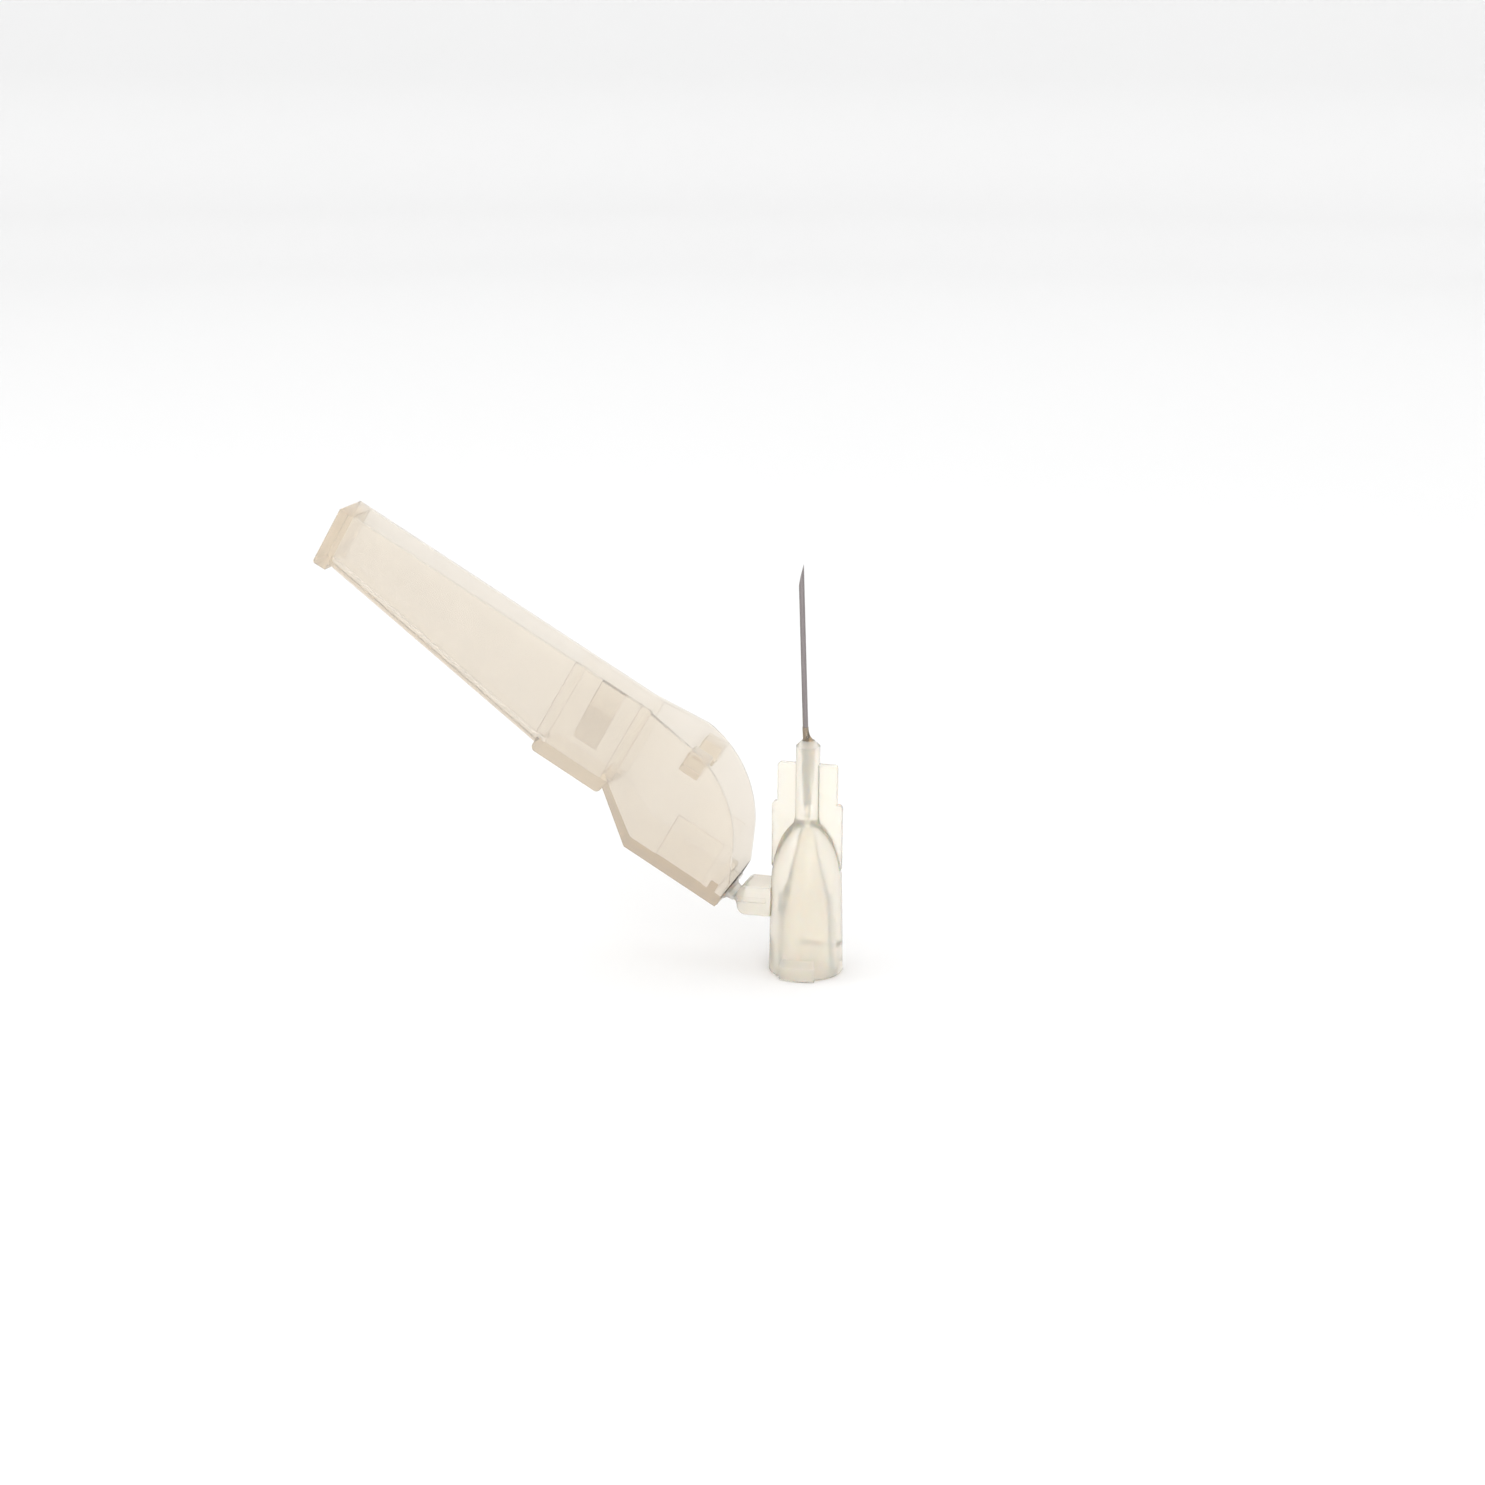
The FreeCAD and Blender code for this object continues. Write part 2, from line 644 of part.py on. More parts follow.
def guard_details(body):
    """Inside the guard: thickened walls, lock pegs, tongue, stop and film."""
    inner_half = "(bulb_width / 2 - bulb_wall)"
    floor_top = "(bulb_floor - bulb_back)"

    liner = draw_box(new_sketch(body, "liner_side", "XZ_Plane", inner_half + " - liner_thickness"),
                     floor_top, "liner_front", "liner_start", "liner_top")
    liner_feature = pad(body, "liner", liner, "liner_thickness + bulb_wall / 2", symmetric=False)
    mirrored(body, "liner_pair", liner_feature, "XZ_Plane")

    rib_inner = "(channel_width / 2 - channel_wall - rib_thickness)"
    for name, low in (("rib_low", "(flare_top - rib_length)"), ("rib_high", "catch_step")):
        rib = draw_box(new_sketch(body, name + "_side", "XZ_Plane", rib_inner),
                       "flare_back + flare_floor / 2", edge_depth("bulb_top"), low, low + " + rib_length")
        rib_feature = pad(body, name, rib, "rib_thickness + channel_wall / 2", symmetric=False)
        mirrored(body, name + "_pair", rib_feature, "XZ_Plane")

    half_peg = "peg_size / 2"
    peg_inner = "(neck_radius + peg_clearance)"
    peg = draw_box(new_sketch(body, "peg_side", "XZ_Plane", peg_inner),
                   "peg_depth - " + half_peg, "peg_depth + " + half_peg,
                   "peg_height - " + half_peg, "peg_height + " + half_peg)
    peg_feature = pad(body, "peg", peg, "%s - %s + bulb_wall / 2" % (inner_half, peg_inner), symmetric=False)
    mirrored(body, "peg_pair", peg_feature, "XZ_Plane")

    wall_face = "(channel_width / 2 - catch_wall / 2)"
    end_face = "(cannula_radius + tongue_clearance)"
    tongue = draw_outline(
        new_sketch(body, "tongue_section", "XY_Plane", "tongue_start"),
        [
            ("tongue_root", "-" + wall_face),
            ("tongue_root", "-%s + catch_wall / 2 + tongue_thickness" % wall_face),
            ("tongue_tip", "-" + end_face),
            ("tongue_tip", "-%s - tongue_thickness" % end_face),
            ("tongue_root - 2 * tongue_thickness", "-" + wall_face),
        ],
    )
    pad(body, "tongue", tongue, "tongue_length", symmetric=False)

    stop = draw_box(new_sketch(body, "stop_side", "XZ_Plane"),
                    floor_top + " - bulb_floor / 2", "stop_depth", "stop_start", "stop_start + stop_length")
    pad(body, "stop_bar", stop, "2 * %s + bulb_wall" % inner_half)

    lip = draw_outline(
        new_sketch(body, "lip_side", "XZ_Plane"),
        [
            ("-bulb_back", "lip_start + lip_bevel + bulb_wall"),
            ("-bulb_back", "lip_start + lip_bevel"),
            ("-bulb_back + lip_bevel", "lip_start"),
            (floor_top + " - lip_bevel / 2", "lip_start"),
            (floor_top, "lip_start + lip_bevel / 2"),
            (floor_top, "lip_start + lip_bevel + bulb_wall"),
        ],
    )
    pad(body, "lip", lip, "bulb_width")

    nose = "film_thickness / 2"
    film = draw_box(new_sketch(body, "film_guard_half", "XZ_Plane"),
                    "-" + nose, nose, nose + " + film_clearance", "lip_start + lip_bevel")
    pad(body, "film_guard", film, "film_width")


def make_guard():
    """Guard: an open trough, wide at the hinge and narrow at the tip."""
    body = new_body("guard")
    guard_shell(body)
    guard_hollow(body)
    guard_details(body)
    body.setExpression("Placement.Base.x", bound("-hinge_reach"))
    body.setExpression("Placement.Base.z", bound("hinge_height"))
    body.Placement.Rotation = FreeCAD.Rotation(FreeCAD.Vector(0, -1, 0), 1)
    body.setExpression("Placement.Rotation.Angle", bound("open_angle") + " * 1 deg")
    return body


def main():
    make_sheet()
    pieces = [make_hub(), make_cannula(), make_bead(), make_guard()]
    doc.recompute()
    for obj in doc.Objects:
        if "Invalid" in obj.State or "Error" in obj.State:
            raise RuntimeError("failed: " + obj.Name)
    for piece in pieces:
        shape = piece.Shape
        if shape.isNull() or not shape.isValid() or len(shape.Solids) != 1:
            raise RuntimeError("bad shape: " + piece.Label)
    os.makedirs("parts", exist_ok=True)
    for piece in pieces:
        piece.Shape.exportStep("parts/%s.step" % piece.Label)
        print(piece.Label, "volume", round(piece.Shape.Volume, 3))


main()
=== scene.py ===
"""Looks of a safety hypodermic needle: moulded hub and guard, film hinge, steel tube and its adhesive."""

import json
import math

import bmesh
import bpy
from mathutils import Matrix, Vector


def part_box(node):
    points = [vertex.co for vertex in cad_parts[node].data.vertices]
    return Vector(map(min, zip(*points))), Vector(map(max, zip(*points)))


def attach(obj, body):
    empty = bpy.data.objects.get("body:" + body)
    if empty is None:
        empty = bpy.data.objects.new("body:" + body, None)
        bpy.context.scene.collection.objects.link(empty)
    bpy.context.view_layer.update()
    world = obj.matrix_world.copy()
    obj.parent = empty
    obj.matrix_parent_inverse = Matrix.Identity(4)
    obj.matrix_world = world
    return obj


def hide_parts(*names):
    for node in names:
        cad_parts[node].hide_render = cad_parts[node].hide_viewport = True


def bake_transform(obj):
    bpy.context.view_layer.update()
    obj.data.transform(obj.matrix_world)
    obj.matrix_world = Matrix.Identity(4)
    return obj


bl_info = {
    "name": "Safety needle looks",
    "version": (1, 0, 0),
    "blender": (4, 5, 0),
    "location": "View3D > Sidebar > Needle",
    "description": "Builds the finished look of a safety hypodermic needle around its fixed frame",
    "category": "Object",
}

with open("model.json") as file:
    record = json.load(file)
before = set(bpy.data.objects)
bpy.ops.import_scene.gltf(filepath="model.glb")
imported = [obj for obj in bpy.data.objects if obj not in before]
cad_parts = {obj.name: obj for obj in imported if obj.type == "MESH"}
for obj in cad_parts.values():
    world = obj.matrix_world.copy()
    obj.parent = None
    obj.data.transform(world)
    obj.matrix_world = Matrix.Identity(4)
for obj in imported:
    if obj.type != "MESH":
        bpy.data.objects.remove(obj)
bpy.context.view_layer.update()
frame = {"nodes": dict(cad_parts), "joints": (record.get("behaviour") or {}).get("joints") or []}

HINGE = next(joint for joint in frame["joints"] if joint["name"] == "guard_hinge")
HINGE_LINE = Vector(HINGE["pos_m"])
NECK_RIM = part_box("hub")[1].z
TUBE_FOOT, TUBE_TOP = (corner.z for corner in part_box("cannula"))
BEAD_FOOT, BEAD_TOP = (corner.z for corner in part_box("adhesive_bead"))

MM = 0.001

# Shapes
MERGE = 5e-7                    # vertices closer than this are one
GRIND_MERGE = MERGE / 10        # and on the flats of the tube's point
FLAT = math.radians(0.3)        # faces that turn less than this are one flat face
SLIVER = 0.02 * MM              # shorter edges are closed up
SHARP = math.radians(35)        # edges that turn more than this are corners
ROUND_STEPS = 2                 # faces across a rounded edge
FACE_WEIGHT = 100               # the large faces beside a rounding decide its shading
GUARD_TILT = math.radians(30)   # the modelled guard's climb from the level
ALONG_GUARD = Vector((-math.cos(GUARD_TILT), 0, math.sin(GUARD_TILT)))
CUT = 0.005 * MM                # how far off a face its film is cut away
FILM_SEAT = 0.04 * MM           # how deep the film's ends sit in arm and guard
FILM_STEPS = 16
FILM_CURVE = 3                  # power of the curve by which the film grows towards its roots
FILM_FLARE = 0.12               # how much wider it is there
LIP_SHARE = 0.8                 # height of the film at the guard's end against its root at the arm
TUBE_SIDES = 40
LANCET_RISE = math.radians(20)  # slope of the point's two side facets against the tube
LANCET_TURN = math.radians(40)  # how far the facets are turned to the sides
LANCET_DROP = 2 * MERGE         # how far under the tip they start
GLUE_SKIN = 0.03 * MM           # thickness of the adhesive where it runs out on the tube
GLUE_GRIP = GLUE_SKIN / 2       # how deep it sits in the tube's wall
FILL_FOOT = 0.39 * MM           # radius of the fill at the foot of the neck's well
FILL_TOP = 0.475 * MM           # and just under the neck's rim
FILL_DROP = 0.06 * MM           # how far under the rim that is
MENISCUS_FOOT = 0.49 * MM       # radius at the rim, where the hollow side starts
MENISCUS_CURVE = 3              # power of its curve
MENISCUS_STEPS = 8

# Finishes, with the scales of their marks in marks per millimetre
NOISE_SPAN = (0.3, 0.7)         # most of a noise lies between these
NOISE_DETAIL = 3.0
FLOW_STRETCH = (1, 1, 0.35)     # the flow marks in the plastic run upwards
FLOW_SCALE = 0.55
FLOW_SHADE = 0.985              # colour of the darker marks against the lighter
SATIN_SCALE = 2.2
SATIN_DETAIL = 4.0
SATIN_SPREAD = 0.15             # how far the roughness varies to both sides
GRAIN_SCALE = 9.0
GRAIN_STRENGTH = 0.25
GRAIN_HEIGHT = 0.008 * MM
BLEED_REACH = (1.0, 0.85, 0.7)  # how far red, green and blue light spread against each other
GLUE_CLEARNESS = 0.9
GLUE_ROUGHNESS = 0.08
GLUE_IOR = 1.5
DRAWN_STRETCH = (6, 6, 0.12)    # the lines on the steel run along the tube
DRAWN_SCALE = 3.0
DRAWN_SHADE = 0.8
DRAWN_SPREAD = 0.3
DRAWN_STRENGTH = 0.3
DRAWN_HEIGHT = 0.004 * MM

# Stage
SENSOR = 36.0                   # width of the camera's sensor in millimetres
NEAR_LIMIT = 0.01
FAR_LIMIT = 20.0
SWEEP = 0.15                    # share of the floor that is its rising edge
FLOOR_GAP = 0.02 * MM           # how far the floor lies under the open rim
FLOOR_SIDES = 96
FLOOR_ROUGHNESS = 0.8
FLOOR_GLOSS = 0.1
KEY_PLACE = (0.19, -0.34, 0.15)
KEY_SIZE = 0.22
SIDE_PLACE = (-0.32, -0.12, 0.20)
SIDE_SIZE = 0.18
SIDE_SHARE = 0.4                # power of the side light against the key light
BOUNCES = 16                    # enough for light that crosses all the clear walls
DIFFUSE_BOUNCES = 6


class PlasticLook(bpy.types.PropertyGroup):
    """Finish of the two translucent mouldings."""

    hub_colour: bpy.props.FloatVectorProperty(
        name="Hub colour", description="Colour of the haze in the hub's plastic",
        default=(0.982, 0.922, 0.842), size=3, subtype="COLOR", min=0, max=1)
    hub_clearness: bpy.props.FloatProperty(
        name="Hub clearness", description="Share of the light that passes a surface of the hub",
        default=0.70, min=0, max=1, subtype="FACTOR")
    hub_depth: bpy.props.FloatProperty(
        name="Hub depth tint", description="How fast light takes on the depth colour in the hub, per metre",
        default=35.0, min=0)
    hub_roughness: bpy.props.FloatProperty(
        name="Hub roughness", description="Satin of the hub's surface", default=0.12, min=0, max=1,
        subtype="FACTOR")
    guard_colour: bpy.props.FloatVectorProperty(
        name="Guard colour", description="Colour of the haze in the guard's plastic",
        default=(0.957, 0.926, 0.88), size=3, subtype="COLOR", min=0, max=1)
    guard_clearness: bpy.props.FloatProperty(
        name="Guard clearness", description="Share of the light that passes a surface of the guard",
        default=0.78, min=0, max=1, subtype="FACTOR")
    guard_depth: bpy.props.FloatProperty(
        name="Guard depth tint",
        description="How fast light takes on the depth colour in the guard, per metre",
        default=390.0, min=0)
    film_clearness: bpy.props.FloatProperty(
        name="Film clearness", description="Share of the light that passes a surface of the bent film",
        default=0.55, min=0, max=1, subtype="FACTOR")
    depth_colour: bpy.props.FloatVectorProperty(
        name="Depth colour", description="Colour that light takes on inside the plastic",
        default=(0.84, 0.745, 0.58), size=3, subtype="COLOR", min=0, max=1)
    bleed: bpy.props.FloatProperty(
        name="Light bleed", description="How far light spreads in the haze of the hub and the film",
        default=0.8 * MM, min=0, unit="LENGTH", precision=5)
    roughness: bpy.props.FloatProperty(
        name="Roughness", description="Satin of the guard's and the film's surface", default=0.15, min=0,
        max=1, subtype="FACTOR")
    ior: bpy.props.FloatProperty(
        name="Index of refraction", description="How strongly the plastic bends light", default=1.33, min=1,
        max=2)


class TubeLook(bpy.types.PropertyGroup):
    """Finish of the steel tube and of the adhesive that bonds it."""

    steel_colour: bpy.props.FloatVectorProperty(
        name="Steel colour", description="Colour of the steel", default=(0.30, 0.27, 0.27), size=3,
        subtype="COLOR", min=0, max=1)
    steel_roughness: bpy.props.FloatProperty(
        name="Steel roughness", description="Gloss of the drawn tube", default=0.24, min=0, max=1,
        subtype="FACTOR")
    glue_colour: bpy.props.FloatVectorProperty(
        name="Adhesive colour", description="Colour of the cured adhesive", default=(0.93, 0.80, 0.58),
        size=3, subtype="COLOR", min=0, max=1)
    glue_depth_colour: bpy.props.FloatVectorProperty(
        name="Adhesive depth colour", description="Colour that light takes on inside the adhesive",
        default=(0.70, 0.50, 0.28), size=3, subtype="COLOR", min=0, max=1)
    glue_depth: bpy.props.FloatProperty(
        name="Adhesive depth tint", description="How fast light takes on that colour, per metre",
        default=1300.0, min=0)


class MouldingForm(bpy.types.PropertyGroup):
    """Small forms that finish the pieces."""

    edge_round: bpy.props.FloatProperty(
        name="Edge rounding", description="Width of the rounding on the mouldings' edges", default=0.07 * MM,
        min=0, unit="LENGTH", precision=5)
    least_edge: bpy.props.FloatProperty(
        name="Least edge", description="Shorter edges stay as they are", default=0.21 * MM, min=0,
        unit="LENGTH", precision=5)
    film_thickness: bpy.props.FloatProperty(
        name="Film thickness", description="Thickness of the hinge film at its fold", default=0.35 * MM,
        min=0, unit="LENGTH", precision=5)
    film_width: bpy.props.FloatProperty(
        name="Film width", description="Width of the hinge film at its fold", default=3.4 * MM, min=0,
        unit="LENGTH", precision=5)
    film_root: bpy.props.FloatProperty(
        name="Film root", description="Height of the film where it leaves the arm", default=1.5 * MM, min=0,
        unit="LENGTH", precision=5)
    arm_gap: bpy.props.FloatProperty(
        name="Arm gap", description="Arm's end to the fold", default=0.5 * MM, min=0, unit="LENGTH",
        precision=5)
    lip_gap: bpy.props.FloatProperty(
        name="Lip gap", description="Guard's end to the fold", default=0.65 * MM, min=0, unit="LENGTH",
        precision=5)
    tube_radius: bpy.props.FloatProperty(
        name="Tube radius", description="Outer radius of the steel tube", default=0.25 * MM, min=0,
        unit="LENGTH", precision=5)
    tube_bore: bpy.props.FloatProperty(
        name="Tube bore", description="Radius of the tube's bore", default=0.13 * MM, min=0, unit="LENGTH",
        precision=5)
    tube_lean: bpy.props.FloatProperty(
        name="Tube lean", description="Lean of the tube towards the guard", default=math.radians(2.2),
        subtype="ANGLE", unit="ROTATION")
    point_length: bpy.props.FloatProperty(
        name="Point length", description="Length of the ground point", default=2.05 * MM, min=0,
        unit="LENGTH", precision=5)


class StageLook(bpy.types.PropertyGroup):
    """Camera, floor and light."""

    target: bpy.props.FloatVectorProperty(
        name="Target", description="Point that the camera looks at",
        default=(-6.127 * MM, 0, 21.077 * MM), size=3, subtype="XYZ", unit="LENGTH")
    azimuth: bpy.props.FloatProperty(
        name="Azimuth", description="Camera's turn from straight ahead", default=math.radians(15.159),
        subtype="ANGLE", unit="ROTATION")
    elevation: bpy.props.FloatProperty(
        name="Elevation", description="Camera's height angle", default=math.radians(14.866),
        subtype="ANGLE", unit="ROTATION")
    roll: bpy.props.FloatProperty(
        name="Roll", description="Tilt of the picture", default=math.radians(0.303),
        subtype="ANGLE", unit="ROTATION")
    distance: bpy.props.FloatProperty(
        name="Distance", description="Camera to target", default=0.24, min=0.01, unit="LENGTH")
    lens: bpy.props.FloatProperty(
        name="Lens", description="Focal length in millimetres on a 36 mm wide sensor", default=64.29, min=1)
    floor_size: bpy.props.FloatProperty(
        name="Floor size", description="Radius of the floor", default=0.9, min=0.1, unit="LENGTH")
    floor_colour: bpy.props.FloatVectorProperty(
        name="Floor colour", description="Colour of the floor", default=(0.85, 0.85, 0.85), size=3,
        subtype="COLOR", min=0, max=1)
    surround: bpy.props.FloatProperty(
        name="Surround", description="Brightness of the white surround", default=1.2, min=0)
    key_power: bpy.props.FloatProperty(
        name="Key light", description="Power of the light low in front, at the right", default=0.5, min=0,
        unit="POWER")


def nodes_of(name):
    """A new material with an empty node tree, its tree and its output."""
    material = bpy.data.materials.new(name)
    material.use_nodes = True
    tree = material.node_tree
    tree.nodes.clear()
    output = tree.nodes.new("ShaderNodeOutputMaterial")
    return material, tree, output


def object_space(tree, scale=(1, 1, 1)):
    """Object coordinates in millimetres, stretched by scale."""
    place = tree.nodes.new("ShaderNodeTexCoord")
    mapping = tree.nodes.new("ShaderNodeMapping")
    mapping.inputs["Scale"].default_value = [stretch / MM for stretch in scale]
    tree.links.new(place.outputs["Object"], mapping.inputs["Vector"])
    return mapping.outputs["Vector"]


def noise(tree, vector, scale, detail=NOISE_DETAIL):
    """Soft random marks, so many to the vector's unit."""
    texture = tree.nodes.new("ShaderNodeTexNoise")
    texture.inputs["Scale"].default_value = scale
    texture.inputs["Detail"].default_value = detail
    tree.links.new(vector, texture.inputs["Vector"])
    return texture.outputs["Fac"]


def ranged(tree, value, low, high):
    """A noise, spread between low and high."""
    spread = tree.nodes.new("ShaderNodeMapRange")
    spread.inputs["From Min"].default_value = NOISE_SPAN[0]
    spread.inputs["From Max"].default_value = NOISE_SPAN[1]
    spread.inputs["To Min"].default_value = low
    spread.inputs["To Max"].default_value = high
    tree.links.new(value, spread.inputs["Value"])
    return spread.outputs["Result"]


def bump(tree, height, strength, distance):
    """A bump whose height is a value between 0 and 1 times distance."""
    node = tree.nodes.new("ShaderNodeBump")
    node.inputs["Strength"].default_value = strength
    node.inputs["Distance"].default_value = distance
    tree.links.new(height, node.inputs["Height"])
    return node.outputs["Normal"]


def mixed_colour(tree, factor, first, second):
    """A colour that goes from first to second with a factor."""
    mix = tree.nodes.new("ShaderNodeMix")
    mix.data_type = "RGBA"
    mix.inputs["A"].default_value = (*first, 1)
    mix.inputs["B"].default_value = (*second, 1)
    tree.links.new(factor, mix.inputs["Factor"])
    return mix.outputs["Result"]


def marked_colour(tree, marks, colour, shade):
    """A colour with darker marks."""
    darker = [channel * shade for channel in colour]
    return mixed_colour(tree, ranged(tree, marks, 0, 1), darker, colour)


def hazy_glass(name, colour, clearness, roughness, ior, depth_colour, depth, bleed=0.0):
    """A translucent solid: haze in its surface, tint by its depth, satin and faint flow marks."""
    material, tree, output = nodes_of(name)
    shader = tree.nodes.new("ShaderNodeBsdfPrincipled")
    flow = noise(tree, object_space(tree, FLOW_STRETCH), FLOW_SCALE)
    tree.links.new(marked_colour(tree, flow, colour, FLOW_SHADE), shader.inputs["Base Color"])
    satin = noise(tree, object_space(tree), SATIN_SCALE, SATIN_DETAIL)
    tree.links.new(ranged(tree, satin, roughness * (1 - SATIN_SPREAD), roughness * (1 + SATIN_SPREAD)),
                   shader.inputs["Roughness"])
    grain = noise(tree, object_space(tree), GRAIN_SCALE)
    tree.links.new(bump(tree, grain, GRAIN_STRENGTH, GRAIN_HEIGHT), shader.inputs["Normal"])
    shader.inputs["IOR"].default_value = ior
    shader.inputs["Transmission Weight"].default_value = clearness
    if bleed:
        shader.inputs["Subsurface Weight"].default_value = 1.0
        shader.inputs["Subsurface Radius"].default_value = BLEED_REACH
        shader.inputs["Subsurface Scale"].default_value = bleed
    inside = tree.nodes.new("ShaderNodeVolumeAbsorption")
    inside.inputs["Color"].default_value = (*depth_colour, 1)
    inside.inputs["Density"].default_value = depth
    tree.links.new(shader.outputs["BSDF"], output.inputs["Surface"])
    tree.links.new(inside.outputs["Volume"], output.inputs["Volume"])
    return material


def hub_plastic(look):
    """Polypropylene, hazier in the hub's thick walls."""
    return hazy_glass("hub plastic", look.hub_colour, look.hub_clearness, look.hub_roughness, look.ior,
                      look.depth_colour, look.hub_depth, look.bleed)


def guard_plastic(look):
    """Polypropylene, clearer in the guard's thin walls."""
    return hazy_glass("guard plastic", look.guard_colour, look.guard_clearness, look.roughness, look.ior,
                      look.depth_colour, look.guard_depth)


def film_plastic(look):
    """The hub's plastic, hazier where it is bent."""
    return hazy_glass("film plastic", look.hub_colour, look.film_clearness, look.roughness, look.ior,
                      look.depth_colour, look.hub_depth, look.bleed)


def cured_adhesive(look):
    """Glossy amber adhesive."""
    return hazy_glass("bead adhesive", look.glue_colour, GLUE_CLEARNESS, GLUE_ROUGHNESS, GLUE_IOR,
                      look.glue_depth_colour, look.glue_depth)


def drawn_steel(look):
    """Stainless tube, drawn lengthwise."""
    material, tree, output = nodes_of("cannula steel")
    shader = tree.nodes.new("ShaderNodeBsdfPrincipled")
    lines = noise(tree, object_space(tree, DRAWN_STRETCH), DRAWN_SCALE)
    tree.links.new(marked_colour(tree, lines, look.steel_colour, DRAWN_SHADE), shader.inputs["Base Color"])
    rough = look.steel_roughness
    tree.links.new(ranged(tree, lines, rough * (1 - DRAWN_SPREAD), rough * (1 + DRAWN_SPREAD)),
                   shader.inputs["Roughness"])
    tree.links.new(bump(tree, lines, DRAWN_STRENGTH, DRAWN_HEIGHT), shader.inputs["Normal"])
    shader.inputs["Metallic"].default_value = 1.0
    tree.links.new(shader.outputs["BSDF"], output.inputs["Surface"])
    return material


def paint(piece, material):
    """Give a new piece its one material."""
    piece.data.materials.append(material)


def piece_from(form, name, body):
    """Turn a finished bmesh into a smooth shaded piece that rides on a body, if one is given."""
    for face in form.faces:
        face.smooth = True
    for edge in form.edges:
        edge.smooth = not edge.is_manifold or edge.calc_face_angle() < SHARP
    mesh = bpy.data.meshes.new(name)
    form.to_mesh(mesh)
    form.free()
    piece = bpy.data.objects.new(name, mesh)
    bpy.context.scene.collection.objects.link(piece)
    if body:
        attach(piece, body)
    return piece


def everything(form):
    """All parts of a bmesh, as a cut through it needs them."""
    return form.verts[:] + form.edges[:] + form.faces[:]


def solid_copy(node, place, outward):
    """A node's shape as one clean mesh, without the film that stands on its flat face at a place."""
    form = bmesh.new()
    form.from_mesh(frame["nodes"][node].data)
    bmesh.ops.remove_doubles(form, verts=form.verts, dist=MERGE)
    bmesh.ops.bisect_plane(form, geom=everything(form), dist=MERGE, plane_co=place + outward * CUT,
                           plane_no=outward, clear_outer=True)
    # The film's stump goes back onto the face, which is then closed as one whole face
    rim = {vert for edge in form.edges if edge.is_boundary for vert in edge.verts}
    bmesh.ops.translate(form, verts=list(rim), vec=-outward * CUT)
    bmesh.ops.remove_doubles(form, verts=form.verts, dist=MERGE)
    around = [face for face in form.faces
              if all(abs((vert.co - place).dot(outward)) < MERGE for vert in face.verts)]
    bmesh.ops.delete(form, geom=around, context="FACES")
    bmesh.ops.holes_fill(form, edges=[edge for edge in form.edges if edge.is_boundary])
    bmesh.ops.dissolve_limit(form, angle_limit=FLAT, verts=form.verts, edges=form.edges)
    bmesh.ops.remove_doubles(form, verts=form.verts, dist=SLIVER)
    return form


def round_edges(form, edges, width):
    """Round some edges of a bmesh."""
    bmesh.ops.bevel(form, geom=edges, offset=width, offset_type="OFFSET", segments=ROUND_STEPS, profile=0.5,
                    affect="EDGES", clamp_overlap=False, material=-1)


def soften(form, width, least):
    """Round the outer edges that are long enough to take it."""
    outer = [edge for edge in form.edges if edge.is_manifold and edge.is_convex
             and edge.calc_face_angle() > SHARP and edge.calc_length() > least]
    round_edges(form, outer, width)


def even_shading(piece):
    """Shade rounded edges smoothly while flat faces stay flat."""
    weighted = piece.modifiers.new("flat faces", "WEIGHTED_NORMAL")
    weighted.keep_sharp = True
    weighted.weight = FACE_WEIGHT


class NEEDLE_OT_hub(bpy.types.Operator):
    """Make the moulded hub with softened edges."""

    bl_idname = "needle.hub"
    bl_label = "Hub"

    def execute(self, context):
        sizes = context.scene.needle_form
        form = solid_copy("hub", HINGE_LINE + Vector((sizes.arm_gap, 0, 0)), Vector((-1, 0, 0)))
        soften(form, sizes.edge_round, sizes.least_edge)
        piece = piece_from(form, "hub_moulding", "hub_body")
        even_shading(piece)
        paint(piece, hub_plastic(context.scene.needle_plastic))
        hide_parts("hub")
        return {"FINISHED"}


class NEEDLE_OT_guard(bpy.types.Operator):
    """Make the moulded guard with softened edges."""

    bl_idname = "needle.guard"
    bl_label = "Guard"

    def execute(self, context):
        sizes = context.scene.needle_form
        form = solid_copy("guard", HINGE_LINE + ALONG_GUARD * sizes.lip_gap, -ALONG_GUARD)
        soften(form, sizes.edge_round, sizes.least_edge)
        piece = piece_from(form, "guard_moulding", "guard_body")
        even_shading(piece)
        paint(piece, guard_plastic(context.scene.needle_plastic))
        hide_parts("guard")
        return {"FINISHED"}


